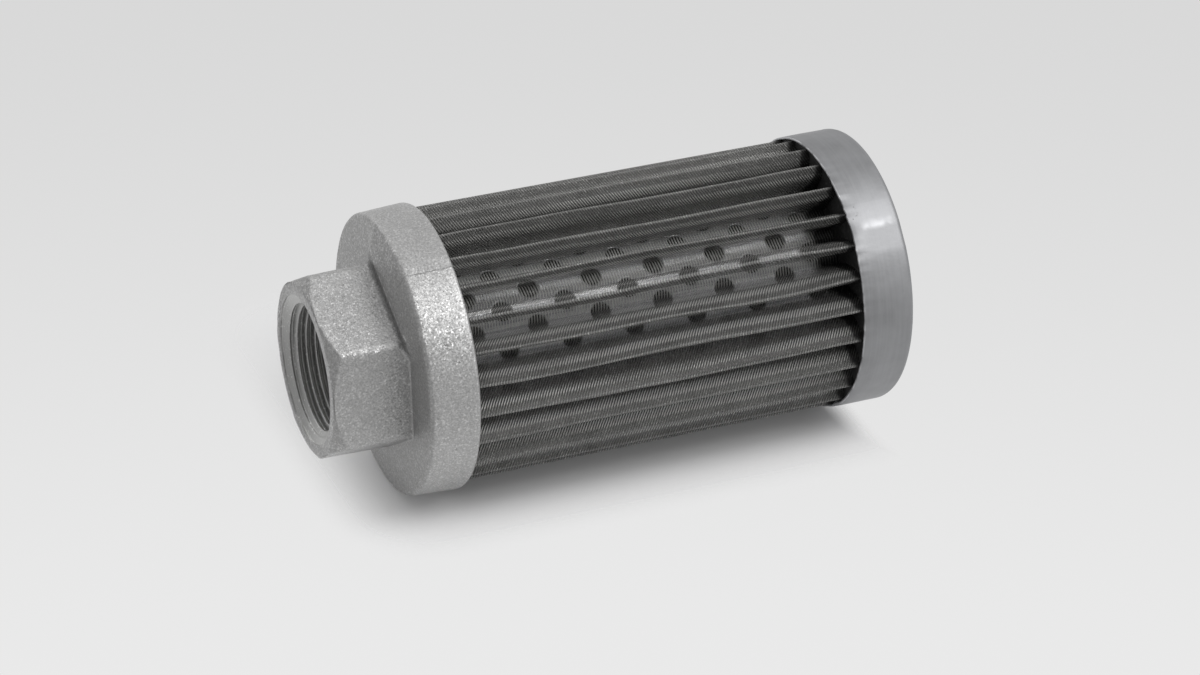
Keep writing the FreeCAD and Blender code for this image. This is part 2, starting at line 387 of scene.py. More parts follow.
def plated_skin(name, shade_low, rough_low, marks, streaks=0.02, pressed=False, dark_inside_below_r=0.0):
    skin = Finish(name, Metallic=1.0, Roughness=rough_low)
    clouds = skin.grain(0.12, detail=4, roughness=0.6)
    drawn = skin.grain(1.0, detail=3, squeeze=marks)
    line = drawn.smooth(0.40, 0.62) * streaks
    specks = skin.grain(3.0).smooth(0.72, 0.8)
    shade = shade_low + clouds * 0.16 + line - specks * 0.12
    rough = rough_low + clouds * 0.12 + drawn * 0.08 - line * 0.12
    if pressed:
        crease_highlight, flat, lip, pits = press_marks(skin)
        # A soft painted highlight runs along the bend at the flat's edge; the flat and the lip are made a
        # little lighter.
        shade = shade + crease_highlight * 0.13 + flat * 0.02 + lip * 0.20 - pits * 0.20
        rough = rough - crease_highlight * 0.04 - lip * 0.10
    # Below that radius the sheet is painted nearly black: a painted shade for the inside of the tube.
    if dark_inside_below_r:
        outer_side = skin.from_axis().smooth(dark_inside_below_r, dark_inside_below_r + INSIDE_SHADE_EDGE)
        shade = shade * (INSIDE_SHADE + outer_side * (1 - INSIDE_SHADE))
    skin.set("Base Color", skin.tinted(shade, (1, 1.008, 1.035)))
    skin.set("Roughness", rough)
    skin.relief(drawn * 0.4 + clouds * 4.0, 0.03)
    return skin.material


PLATED = plated_skin("bright_zinc_sheet", 0.255, 0.45, marks=(0.05, 0.05, 1.6), pressed=True)
CORE_STEEL = plated_skin("galvanised_core_sheet", 0.60, 0.30, marks=(1.9, 1.9, 0.035),
                         streaks=0.95, dark_inside_below_r=20.2)
CLIP_STEEL = plated_skin("zinc_clip_strip", 0.27, 0.42, marks=(2.6, 2.6, 0.04), streaks=0.10)
print("finishes:", PLATED.name, CORE_STEEL.name, CLIP_STEEL.name)

# %% [markdown]
# ## Woven wire
# The cloth is a fine twill: each wire passes over two and under two, one step further on in
# every row, so diagonal ribs run over the sheet. The pattern follows the sheet through its
# folds, so it reads a UV map in millimetres of flat cloth: the distance from the pleat's tip,
# and the height. The ribs' slant is a smooth curve of the first, so both flanks of a pleat
# mirror each other. The ribs in a band behind each tip are lighter and smoother, a painted
# highlight where the bulging flank faces the lamp, and lighter dashes on the ribs are painted
# glints. Between the ribs the cloth lets a little light through, and near the cap the compound
# has crept up and darkened it. On the side away from the camera the cloth is more opaque, which
# stands in for the shade behind the filter and keeps the view through it dark.

# %% Patterns of the wire cloth
SLANT_RUN = (-4.0, 14.8)
CREEP_R = (20.0, 33.5)
CREEP_RISE, CREEP_WAVES, CREEP_START = 3.4, 3.0, 0.4
CREEP_EDGE = (-1.4, 0.4)


def twill(skin):
    """The distance from the tip, the ribs of the twill and the single wires across them."""
    flat = skin.node("ShaderNodeUVMap", uv_map="cloth")
    from_tip, along = flat.axis(0), flat.axis(1)
    slant = from_tip.smooth(*SLANT_RUN) * TWILL_SLANT
    drift = skin.grain(0.3) * 0.25
    ribs = ((slant + along + drift) * (math.tau / TWILL)).calc("SINE")
    wires = (along * (math.tau / WIRE_STEP)).calc("SINE")
    return from_tip, (ribs * 0.5 + 0.5) ** 2.0, wires * 0.5 + 0.5


def crept_compound(skin, radius):
    """Mask of the compound that has crept up the cloth from the cap, highest at the roots."""
    creep = CREEP_RISE * (1.0 - radius.smooth(*CREEP_R)) + skin.grain(0.4, detail=3) * CREEP_WAVES
    above_cap = skin.place_mm.axis(2) - (CAP_TOP / MM + CREEP_START)
    return 1.0 - (above_cap - creep).smooth(*CREEP_EDGE)


print("ribs", TWILL, "mm apart, wires", WIRE_STEP, "mm apart")

# %% Wire cloth
ROOT_BAND, TIP_BAND = (22.2, 24.2), (32.7, 33.2)
BELLY_HIGHLIGHT = (1.8, 2.7), (3.6, 4.8)
FAR_SIDE = (0.86, 0.51, 0.0)
FAR_EDGE = (-4.0, 14.0)
LIGHTEST = 0.95


def wire_skin():
    skin = Finish("twill_wire_cloth", Metallic=0.45, Roughness=0.42)
    from_tip, rib, knots = twill(skin)
    radius = skin.from_axis()
    wet = crept_compound(skin, radius)
    root, tip = 1.0 - radius.smooth(*ROOT_BAND), radius.smooth(*TIP_BAND)
    cloud = skin.grain(0.13, detail=4, roughness=0.6)
    patch = skin.grain(0.22, detail=3).smooth(0.35, 0.65)
    broken = skin.grain(1.9, roughness=0.6).smooth(0.32, 0.68)
    glint = skin.grain(1.6, detail=1).smooth(0.55, 0.75) * rib
    uneven = skin.grain(1.0, squeeze=(0.16, 0.16, 0.012)).smooth(0.35, 0.65)
    # Painted highlight: ribs in a band behind each tip are lighter and smoother, where the flank bulges to
    # the lamp.
    belly_highlight = from_tip.within(*BELLY_HIGHLIGHT) * (0.2 + uneven)
    shade = 0.125 + knots * 0.03 + cloud * 0.10
    shade = shade + rib * (0.02 + broken * 0.12 + patch * 0.10 + root * 0.75)
    shade = shade + rib ** 1.5 * belly_highlight * (0.9 + broken) + glint * (0.34 + belly_highlight * 0.60)
    shade = shade.calc("MINIMUM", LIGHTEST) * (1.0 - wet * 0.88)
    skin.set("Base Color", skin.tinted(shade, (1.005, 1, 0.97)))
    skin.set("Roughness", 0.44 - rib * (0.12 + belly_highlight * 0.08) + cloud * 0.1)
    # On the side away from the camera the cloth is more opaque: it stands in for the shade behind the filter.
    far = skin.dot(skin.place_mm, FAR_SIDE).smooth(*FAR_EDGE)
    solid = 0.30 - root * 0.10 + rib * (0.31 + root * 0.14) + knots * 0.04
    solid = solid + tip * 0.35 + far * 0.50 + wet
    skin.set("Alpha", solid.calc("MINIMUM", 1.0))
    skin.relief(rib * 0.8 + knots * 0.2, 0.20)
    return skin.material


WIRE = wire_skin()
print("finish:", WIRE.name)

# %% [markdown]
# ## Potting
# The pleats are bonded with a poured compound. It is nearly black, a little glossy where it
# crept up the wires, and never quite flat.

# %% Potting compound
def potting_skin():
    skin = Finish("dark_potting", Metallic=0.0, Roughness=0.5)
    lumps = skin.grain(0.5, detail=4, roughness=0.6)
    skin.set("Base Color", skin.tinted(0.016 + lumps * 0.030))
    skin.set("Roughness", 0.42 + lumps * 0.25)
    skin.relief(lumps, 0.3)
    return skin.material


POTTING = potting_skin()
print("finish:", POTTING.name)

# %% [markdown]
# ## Meshes from rings
# Most pieces here are round. A helper takes rings of points, all with the same count, and
# joins each ring to the next with quads. It closes the ring when told to, merges points that
# fall together and turns the faces outwards.

# %% Mesh helpers
WELD = 1e-6
NO_LENGTH = 1e-7


def mesh_object(name, points, faces, materials, shades=None, outward=True):
    mesh = bpy.data.meshes.new(name)
    mesh.from_pydata(points, [], faces)
    for material in materials:
        mesh.materials.append(material)
    if shades:
        mesh.polygons.foreach_set("material_index", shades)
    build = bmesh.new()
    build.from_mesh(mesh)
    bmesh.ops.remove_doubles(build, verts=build.verts, dist=WELD)
    bmesh.ops.dissolve_degenerate(build, edges=build.edges, dist=NO_LENGTH)
    if outward:
        bmesh.ops.recalc_face_normals(build, faces=build.faces)
    for face in build.faces:
        face.smooth = True
    build.to_mesh(mesh)
    build.free()
    made = bpy.data.objects.new(name, mesh)
    bpy.context.scene.collection.objects.link(made)
    return made


def ring_faces(rings, count, closed_profile):
    """Quads between neighbouring rings of count points each."""
    faces = []
    for row in range(rings if closed_profile else rings - 1):
        low, high = row * count, ((row + 1) % rings) * count
        for i in range(count):
            j = (i + 1) % count
            faces.append((low + i, low + j, high + j, high + i))
    return faces


def at(radius, angle, height):
    return (radius * math.cos(angle), radius * math.sin(angle), height)


def angles(steps, start=0.0):
    """The angles of even steps round the axis."""
    return [start + math.tau * i / steps for i in range(steps)]


def circle(radius, height, steps, start=0.0):
    """Points of one ring round the axis."""
    return [at(radius, angle, height) for angle in angles(steps, start)]


print("rings and meshes can be made")

# %% Helpers for profiles
ARC_STEPS = 7


def clamped(value):
    """A number held between 0 and 1."""
    return min(1.0, max(0.0, value))


def eased(share):
    """A share of a way that starts and ends softly."""
    return share * share * (3 - 2 * share)


def apart(angle, other):
    """The smaller angle between two directions."""
    return abs((angle - other + math.pi) % math.tau - math.pi)


def rounded_profile(corners):
    """(radius, height) points through (radius, height, rounding) corners, with true arcs."""
    points = []
    for i, (x, y, rounding) in enumerate(corners):
        here = Vector((x, y))
        if rounding == 0:
            points.append((x, y))
            continue
        back = (Vector(corners[i - 1][:2]) - here).normalized()
        ahead = (Vector(corners[i + 1][:2]) - here).normalized()
        half = back.angle(ahead) / 2
        centre = here + (back + ahead).normalized() * (rounding / math.sin(half))
        start = here + back * (rounding / math.tan(half)) - centre
        end = here + ahead * (rounding / math.tan(half)) - centre
        turn = start.angle(end)
        for step in range(ARC_STEPS + 1):
            share = step / ARC_STEPS
            arm = (start * math.sin(turn * (1 - share)) + end * math.sin(turn * share)) / math.sin(turn)
            points.append(tuple(centre + arm))
    return points


def finish_piece(piece, slot, *nodes):
    """Ties a finished piece to the solids: it rides with them and stands for its nodes."""
    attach(piece, "root")
    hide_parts(*nodes)
    print(piece.name, "has", len(piece.data.polygons), "faces")


print("profiles and pieces can be made")

# %% [markdown]
# ## The cast head
# Seen along the axis, every point of the head's skin lies straight out from the axis, so one
# profile per angle describes it all: over the crown, down the hexagon's side, over the face
# and the rim, and back under. The hexagon's distance from the axis changes with the angle, and
# so does the face, which is a little higher before the hexagon's top side. The soft corners of
# a casting come from rounding that distance and every bend.

# %% Sizes of the head
HEX_HALF = 21.1 * MM
HEX_TURN = math.radians(33.0)
HEX_SOFT = 2.6 * MM
HEX_LEAN = 0.35 * MM
CROWN_R = 20.9 * MM
CROWN_SLOPE = math.tan(math.radians(36))
FACE_R = 26.6 * MM
FACE_CROWN = 0.15 * MM
PAD_RISE = 1.9 * MM
PAD_HALF = math.radians(35)
PAD_EDGE = math.radians(6)
RIM_TOP = 124.75 * MM
RIM_DRAFT = 0.6 * MM
RECESS_TOP = HEAD_LOW + 8 * MM
MOUTH_R = 18.3 * MM
SIXTH = math.pi / 3
print("height of the hexagon over the rim:", round((HEAD_TOP - RIM_TOP) / MM, 2), "mm")

# %% Profile of the head
def hexagon_reach(angle):
    """Distance from the axis to the hexagon's side at an angle, with rounded corners."""
    local = (angle - HEX_TURN) % SIXTH - SIXTH / 2
    corner_centre = (HEX_HALF - HEX_SOFT) / math.cos(SIXTH / 2)
    off = SIXTH / 2 - abs(local)
    inside = HEX_SOFT ** 2 - (corner_centre * math.sin(off)) ** 2
    tangent = math.atan2(HEX_SOFT * math.sin(SIXTH / 2), corner_centre + HEX_SOFT * math.cos(SIXTH / 2))
    if off < tangent and inside > 0:
        return corner_centre * math.cos(off) + math.sqrt(inside)
    return HEX_HALF / math.cos(local)


def pad_share(angle):
    """1 before the hexagon's top side, where the face is a little higher, and 0 elsewhere."""
    off = apart(angle, math.radians(TOP_SIDE))
    return eased(clamped((PAD_HALF + PAD_EDGE - off) / (2 * PAD_EDGE)))


def head_profile(angle):
    """(radius, height) points from the mouth over the outside to the recess."""
    reach, pad = hexagon_reach(angle), pad_share(angle)
    face_top = RIM_TOP + FACE_CROWN + PAD_RISE * pad
    crown_low = HEAD_TOP - (reach - CROWN_R) * CROWN_SLOPE
    return rounded_profile([
        (MOUTH_R, HEAD_TOP, 0),
        (CROWN_R, HEAD_TOP, 1.2 * MM),
        (reach, crown_low, 0.5 * MM if reach - CROWN_R < 1 * MM else 0.9 * MM),
        (reach + HEX_LEAN, face_top, (0.5 + 0.8 * pad) * MM),
        (FACE_R, face_top, 4.0 * MM),
        (HEAD_R - RIM_DRAFT, RIM_TOP, 1.1 * MM),
        (HEAD_R, HEAD_LOW, 1.0 * MM),
        (RECESS_R, HEAD_LOW, 0.3 * MM),
        (RECESS_R, RECESS_TOP, 0),
    ])


print("corners of the hexagon at", round(max(map(hexagon_reach, angles(360))) / MM, 2), "mm")

# %% Rings of the head
HEAD_STEPS = 288
RUN_PIECE = 1.6 * MM
WAVE_SIZE = 6 * MM
WAVE_DEPTH = 0.06 * MM
WAVE_FRACTAL = (0.7, 2.1, 4)


def run_pieces(profile):
    """Into how many short pieces each run of a profile is cut, so that waves show on it."""
    return [max(1, round(math.dist(a, b) / RUN_PIECE)) for a, b in zip(profile, profile[1:])]


def cut_up(profile, pieces):
    """The profile with points between the ends of its long runs."""
    points = [profile[0]]
    for (r0, z0), (r1, z1), parts in zip(profile, profile[1:], pieces):
        points += [(r0 + (r1 - r0) * k / parts, z0 + (z1 - z0) * k / parts) for k in range(1, parts + 1)]
    return points


def cast_wave(radius, angle, height):
    """How deep the casting's small waves sink at a spot. The mouth and the recess have none."""
    if radius < MOUTH_R + 1 * MM or (radius <= RECESS_R and height <= RECESS_TOP):
        return 0
    spot = Vector(at(radius, angle, height)) / WAVE_SIZE
    return abs(noise.fractal(spot, *WAVE_FRACTAL)) * WAVE_DEPTH


def head_rings():
    """Rings of the skin, from the mouth to the recess, with the same points in each."""
    pieces = run_pieces(head_profile(0))
    columns = []
    for angle in angles(HEAD_STEPS):
        column = []
        for radius, height in cut_up(head_profile(angle), pieces):
            wave = cast_wave(radius, angle, height)
            column.append(at(radius - wave, angle, height - wave * 0.5))
        columns.append(column)
    return [point for row in zip(*columns) for point in row], len(columns[0])


print("points round the head:", HEAD_STEPS)

# %% [markdown]
# The thread is a one inch parallel pipe thread. Its groove is a 55 degree V with round crests
# and roots that climbs 2.309 mm in each turn. Rows of points that climb with it follow the
# groove exactly, so a few rows in each turn are enough, and the last row of one turn meets the
# first of the next. The lead-in cone and a shallow step at the mouth cut the first turns away.

# %% Thread
THREAD_R = 15.145 * MM
THREAD_DEPTH = 1.40 * MM
PITCH = 2.309 * MM
ROWS_PER_TURN = 12
CREST_FLAT = 0.09
CREST_SOFT = 0.35
RUN_OUT = 1.5 * PITCH
STEP_DEPTH = 0.5 * MM
STEP_WIDTH = 0.25 * MM
CONE_SLOPE = 2.0
SEAT_Z = CORE_TOP


def groove(turn):
    """Share of the thread's depth at a share of one turn: sloping flanks with soft ends."""
    ramp = abs((turn % 1.0) * 2 - 1)
    ramp = clamped((ramp - CREST_FLAT) / (1 - 2 * CREST_FLAT))
    return eased(ramp) * CREST_SOFT + ramp * (1 - CREST_SOFT)


def mouth_radius(depth):
    """The mouth: a shallow step, then a cone that leads the pipe into the thread."""
    if depth < STEP_DEPTH:
        return MOUTH_R
    return MOUTH_R - STEP_WIDTH - (depth - STEP_DEPTH) * CONE_SLOPE


def thread_rings():
    """Rings that climb with the thread, from the seat to the mouth."""
    turns = (HEAD_TOP - SEAT_Z) / PITCH
    rows = int((turns + 1) * ROWS_PER_TURN) + 1
    points = []
    for row in range(rows + 1):
        for i, angle in enumerate(angles(HEAD_STEPS)):
            climbed = SEAT_Z + (row / ROWS_PER_TURN - 1 + i / HEAD_STEPS) * PITCH
            height = min(HEAD_TOP, max(SEAT_Z, climbed))
            depth = THREAD_DEPTH * groove(row / ROWS_PER_TURN) * clamped((height - SEAT_Z) / RUN_OUT)
            points.append(at(max(THREAD_R + depth, mouth_radius(HEAD_TOP - height)), angle, height))
    return points, rows + 1


def thread_faces(rings, count, start):
    """Quads of the climbing rings; round the seam each row meets the one a turn higher."""
    faces = []
    for low in range(rings - 1):
        high = low + 1
        for i in range(count - 1):
            faces.append((low * count + i, low * count + i + 1, high * count + i + 1, high * count + i))
        if high + ROWS_PER_TURN < rings:
            last = count - 1
            faces.append((low * count + last, (low + ROWS_PER_TURN) * count,
                          (high + ROWS_PER_TURN) * count, high * count + last))
    return [tuple(start + k for k in quad) for quad in faces]


print("turns of the thread:", round((HEAD_TOP - SEAT_Z) / PITCH, 1))

# %% [markdown]
# The head's two surfaces meet at the mouth and at the seat. A last few rings join the recess
# to the seat, and the points that fall together are merged, which leaves one closed skin.

# %% Join the head
SEAT_PLAY = 0.1 * MM


def make_head():
    points, skin_rows = head_rings()
    faces = ring_faces(skin_rows, HEAD_STEPS, False)
    thread, thread_rows = thread_rings()
    cut = thread_faces(thread_rows, HEAD_STEPS, len(points))
    points += thread
    start = len(points)
    seat_r = CORE_R + SEAT_PLAY
    seat = [(RECESS_R, RECESS_TOP), (seat_r, RECESS_TOP), (seat_r, SEAT_Z), (THREAD_R, SEAT_Z)]
    for radius, height in seat:
        points += circle(radius, height, HEAD_STEPS)
    cut += [tuple(start + k for k in quad) for quad in ring_faces(len(seat), HEAD_STEPS, False)]
    shades = [0] * len(faces) + [1] * len(cut)
    return mesh_object("head_casting", points, faces + cut, [CAST, MACHINED], shades)


def open_edges(piece):
    """How many edges of a mesh do not lie between exactly two faces."""
    uses = Counter(key for face in piece.data.polygons for key in face.edge_keys)
    return sum(1 for count in uses.values() if count != 2)


head = make_head()
print("open edges of the head:", open_edges(head))
finish_piece(head, "cast_aluminium", "cast_head")

# %% [markdown]
# ## The end cap
# The cap is pressed from one sheet, so both of its sides follow the same line one sheet
# apart, with generous bends. The press leaves the lip a little wavy, and the wall has taken a
# shallow flat, which ends below the lip.

# %% Cap
CAP_STEPS = 300
FLAT_FROM, FLAT_TO = math.radians(-147.5), math.radians(-136.5)
DISH_DEPTH = 2.6 * MM
DISH_SLOPE = 0.8 * MM
DISH_PLAY = 0.15 * MM
WALL_FROM_R = 20 * MM
LIP_SHARE = 0.45
LIP_ZONE = 3 * MM
LIP_WAVE = 0.60 * MM
LIP_SEED = 3.0
LIP_FRACTAL = (0.7, 2.2, 4)
BEAD = 2.0 * MM
DENT = 0.04 * MM
DENTS_PER_METRE = 200
NOISE_R = 6


def flattened(angle):
    """Share of the radius that is left where the cap has taken a shallow flat."""
    middle, half = (FLAT_FROM + FLAT_TO) / 2, (FLAT_TO - FLAT_FROM) / 2
    off = apart(angle, middle)
    return math.cos(half) / math.cos(off) if off < half else 1.0


def cap_point(radius, height, angle):
    """A point of the cap, moved by the wavy lip, the small dents and the flat."""
    if radius <= WALL_FROM_R:
        return at(radius, angle, height)
    near_lip = max(0.0, (height - CAP_TOP + LIP_ZONE) / LIP_ZONE)
    wave = abs(noise.fractal(Vector(at(NOISE_R, angle, LIP_SEED)), *LIP_FRACTAL)) * LIP_WAVE
    dent = abs(noise.noise(Vector(at(NOISE_R, angle, height * DENTS_PER_METRE)))) * DENT
    below_lip = clamped((CAP_TOP - BEAD - height) / BEAD)
    share = 1 + (flattened(angle) - 1) * below_lip
    return at((radius - wave * near_lip - dent) * share, angle, height - wave * near_lip ** 2)


def make_cap():
    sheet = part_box("cap_potting")[0][2]
    dish = CORE_R * math.cos(math.pi / (2 * HOLE_COLUMNS)) - CORE_SHEET - DISH_PLAY
    lip = (CAP_R - RECESS_R) * LIP_SHARE
    profile = rounded_profile([
        (0, DISH_DEPTH, 0),
        (dish - sheet - DISH_SLOPE, DISH_DEPTH, 0.5 * MM),
        (dish - sheet, 0, 0.9 * MM),
        (CAP_R, 0, 1.4 * MM),
        (CAP_R, CAP_TOP, lip),
        (RECESS_R, CAP_TOP, lip),
        (RECESS_R, sheet, 0.8 * MM),
        (dish, sheet, 0.4 * MM),
        (dish - DISH_SLOPE, DISH_DEPTH + sheet, 1.2 * MM),
        (0, DISH_DEPTH + sheet, 0),
    ])
    profile = cut_up(profile, run_pieces(profile))
    points = [cap_point(radius, height, angle) for radius, height in profile for angle in angles(CAP_STEPS)]
    return mesh_object("pressed_cap", points, ring_faces(len(profile), CAP_STEPS, False), [PLATED])


finish_piece(make_cap(), "plated_steel", "pressed_end_cap")

# %% [markdown]
# ## Potting rings
# Each ring fills the space between the core tube and a wall. Its free surface is wavy, as
# poured compound is.

# %% Potting rings
POTTING_STEPS = 180
POTTING_ROWS = 10
POTTING_SINK = 0.7 * MM
POTTING_CORNER = 0.8 * MM
LUMPS_ACROSS, LUMPS_UP = 260, 100


def make_potting(name, hidden, surface, sign):
    """Ring between the core and the wall; sign is 1 where the free surface faces up."""
    points = circle(CORE_R, hidden, POTTING_STEPS)
    for k in range(POTTING_ROWS + 1):
        radius = CORE_R + (RECESS_R - CORE_R) * k / POTTING_ROWS
        for angle in angles(POTTING_STEPS):
            spot = Vector(at(radius * LUMPS_ACROSS, angle, surface * LUMPS_UP))
            points.append(at(radius, angle, surface - sign * abs(noise.noise(spot)) * POTTING_SINK))
    corner = POTTING_CORNER if sign > 0 else 0
    points += circle(RECESS_R, hidden + corner, POTTING_STEPS)
    points += circle(RECESS_R - corner, hidden, POTTING_STEPS)
    faces = ring_faces(POTTING_ROWS + 4, POTTING_STEPS, True)
    return mesh_object(name, points, faces, [POTTING])


cap_ring = make_potting("potting_in_cap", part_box("cap_potting")[0][2], CAP_POTTING_TOP, 1)
finish_piece(cap_ring, "potting", "cap_potting")
head_ring = make_potting("potting_in_head", RECESS_TOP, HEAD_POTTING_LOW, -1)
finish_piece(head_ring, "potting", "head_potting")

# %% [markdown]
# ## Geometry Nodes for what repeats
# The pleats and the holes repeat by a rule, so each is drawn once and a tree lays it out. The
# tree ends in Realize Instances and Set Material, and its result is turned into a plain mesh.
# Small helpers make the tree's named inputs, end it and apply it.

# %% Helpers for Geometry Nodes
def new_tree(name, sizes):
    """An empty tree with a geometry input and output and one named input for each size."""
    tree = bpy.data.node_groups.new(name, "GeometryNodeTree")
    tree.interface.new_socket("Geometry", in_out="INPUT", socket_type="NodeSocketGeometry")
    for label, value in sizes.items():
        kind = "NodeSocketInt" if isinstance(value, int) else "NodeSocketFloat"
        tree.interface.new_socket(label, in_out="INPUT", socket_type=kind)
    tree.interface.new_socket("Geometry", in_out="OUTPUT", socket_type="NodeSocketGeometry")
    graph = Graph(tree)
    start = tree.nodes.new("NodeGroupInput")
    graph.inlet = {s.name: Value(graph, s) for s in start.outputs if s.name}
    return graph


def end_tree(graph, geometry, material):
    painted = graph.node("GeometryNodeSetMaterial", {"Geometry": geometry, "Material": material})
    graph.node("NodeGroupOutput", {"Geometry": painted})


def grow(source, graph, sizes, name):
    """Runs the tree on the source and returns the result as a plain mesh object."""
    modifier = source.modifiers.new("layout", "NODES")
    modifier.node_group = graph.tree
    for item in graph.tree.interface.items_tree:
        if item.in_out == "INPUT" and item.name in sizes:
            modifier[item.identifier] = sizes[item.name]
    bpy.context.view_layer.update()
    evaluated = source.evaluated_get(bpy.context.evaluated_depsgraph_get())
    mesh = bpy.data.meshes.new_from_object(evaluated)
    mesh.name = name
    made = bpy.data.objects.new(name, mesh)
    bpy.context.scene.collection.objects.link(made)
    old = source.data
    bpy.data.objects.remove(source)
    bpy.data.meshes.remove(old)
    return made


print("tree helpers ready")

# %% [markdown]
# ## Perforated core tube
# One cell of the sheet is a rectangle with a round hole and both sides of the sheet. The tree
# lays the cells out flat, shifts every second row by half a cell, and then rolls the flat
# sheet round the axis, just as the real tube is made.

# %% One cell of the perforated sheet
CELL_W = math.tau * CORE_R / HOLE_COLUMNS
SIDE_PARTS = 8
HOLE_SOFT = 0.14 * MM
HOLE_COLLAR = 0.5 * MM
CORE_WELD = 0.00001


def make_cell():
    """Rectangle with a hole: x along the tube's outline, y through the sheet, z upwards."""
    half_w, half_h = CELL_W / 2, HOLE_PITCH / 2
    corners = [(-half_w, -half_h), (half_w, -half_h), (half_w, half_h), (-half_w, half_h)]
    rim = []
    for (x0, z0), (x1, z1) in zip(corners, corners[1:] + corners[:1]):
        rim += [(x0 + (x1 - x0) * k / SIDE_PARTS, z0 + (z1 - z0) * k / SIDE_PARTS) for k in range(SIDE_PARTS)]

    def round_loop(radius):
        return [(x / math.hypot(x, z) * radius, z / math.hypot(x, z) * radius) for x, z in rim]

    collar, soft = round_loop(HOLE_R + HOLE_COLLAR), round_loop(HOLE_R + HOLE_SOFT)
    edge = round_loop(HOLE_R)
    loops = [(rim, 0), (collar, 0), (soft, 0), (edge, -HOLE_SOFT), (edge, HOLE_SOFT - CORE_SHEET),
             (soft, -CORE_SHEET), (collar, -CORE_SHEET), (rim, -CORE_SHEET)]
    points = [(x, depth, z) for loop, depth in loops for x, z in loop]
    faces = ring_faces(len(loops), len(rim), False)
    return mesh_object("sheet_cell", points, faces, [CORE_STEEL], outward=False)


cell = make_cell()
print("one cell:", len(cell.data.polygons), "faces")

# %% Rolling the sheet
def core_tree(sizes):
    graph = new_tree("rolled_perforated_sheet", sizes)
    inlet = graph.inlet
    count = inlet["Columns"] * inlet["Rows"]
    line = graph.node("GeometryNodeMeshLine", {"Count": count, "Offset": (0, 0, 0)})
    index = graph.node("GeometryNodeInputIndex")
    row = (index / inlet["Columns"]).calc("FLOOR")
    column = index - row * inlet["Columns"]
    x = (column + row.calc("MODULO", 2.0) * 0.5) * inlet["Cell width"]
    z = inlet["First row"] + row * inlet["Row pitch"]
    spots = graph.node("GeometryNodeSetPosition", {"Geometry": line,
                       "Position": graph.node("ShaderNodeCombineXYZ", [x, 0.0, z])})
    cells = graph.node("GeometryNodeInstanceOnPoints", {"Points": spots, "Instance": inlet["Geometry"]})
    flat = graph.node("GeometryNodeRealizeInstances", [cells])
    place = graph.node("GeometryNodeInputPosition")
    angle = place.axis(0) / inlet["Outer radius"] + inlet["Phase"]
    radius = inlet["Outer radius"] + place.axis(1)
    rolled = graph.node("ShaderNodeCombineXYZ", [radius * angle.calc("COSINE"),
                                                 radius * angle.calc("SINE"), place.axis(2)])
    tube = graph.node("GeometryNodeSetPosition", {"Geometry": flat, "Position": rolled})
    welded = graph.node("GeometryNodeMergeByDistance", {"Geometry": tube, "Distance": CORE_WELD})
    end_tree(graph, welded, CORE_STEEL)
    return graph


FIRST_ROW = (CAP_POTTING_TOP + HEAD_POTTING_LOW) / 2 - (HOLE_ROWS - 1) * HOLE_PITCH / 2
CORE_SIZES = {"Columns": HOLE_COLUMNS, "Rows": HOLE_ROWS, "Cell width": CELL_W, "Row pitch": HOLE_PITCH,
              "First row": FIRST_ROW, "Outer radius": CORE_R, "Phase": HOLE_PHASE}
core = grow(cell, core_tree(CORE_SIZES), CORE_SIZES, "rolled_core")
print("core tube after rolling:", len(core.data.polygons), "faces")

# %% [markdown]
# The sheet goes on without holes at both ends, down to the cap's floor and up to the head's
# seat. Plain bands with the same number of steps round the tube are joined on and welded.

# %% Ends of the core tube
def close_core(tube):
    steps = HOLE_COLUMNS * SIDE_PARTS
    inner_r = CORE_R - CORE_SHEET
    build = bmesh.new()
    build.from_mesh(tube.data)
    for seam, end in ((FIRST_ROW - HOLE_PITCH / 2, CORE_LOW),
                      (FIRST_ROW + (HOLE_ROWS - 0.5) * HOLE_PITCH, CORE_TOP)):
        loops = []
        for radius, height in ((CORE_R, seam), (CORE_R, end), (inner_r, end), (inner_r, seam)):
            loops.append([build.verts.new(spot) for spot in circle(radius, height, steps, HOLE_PHASE)])
        for near, away in zip(loops, loops[1:]):
            for i in range(steps):
                j = (i + 1) % steps
                build.faces.new((near[i], near[j], away[j], away[i]))
    bmesh.ops.remove_doubles(build, verts=build.verts, dist=CORE_WELD)
    bmesh.ops.recalc_face_normals(build, faces=build.faces)
    for face in build.faces:
        face.smooth = True
    build.to_mesh(tube.data)
    build.free()


close_core(core)
finish_piece(core, "plated_steel", "perforated_core_tube")

# %% [markdown]
# ## Pleated wire cloth
# One pleat is drawn as a thin folded sheet: a tight fold at the tip, two flanks that bulge a
# little and a wider fold at the root. The tree turns copies of it round the axis. Real pleats
# are never even, so a soft noise then pushes their tips a little to one side or the other. It
# is zero at both ends, where the compound holds them. The roots all lean the same way.

# %% Line of one pleat
CLOTH_SHEET = 0.3 * MM
TIP_FOLD = 0.36 * MM
ROOT_FOLD = 2.1 * MM
ROOT_R = CORE_R + 0.3 * MM
FLANK_BULGE = 0.80 * MM
BULGE_SHIFT = 0.6
TIP_STEPS, FLANK_STEPS, ROOT_STEPS = 4, 6, 5
PLEAT_ROWS = 40
IN_CAP = 0.6 * MM
IN_HEAD = 1.6 * MM


def circle_point(centre, radius, angle):
    return centre + Vector((math.cos(angle), math.sin(angle))) * radius


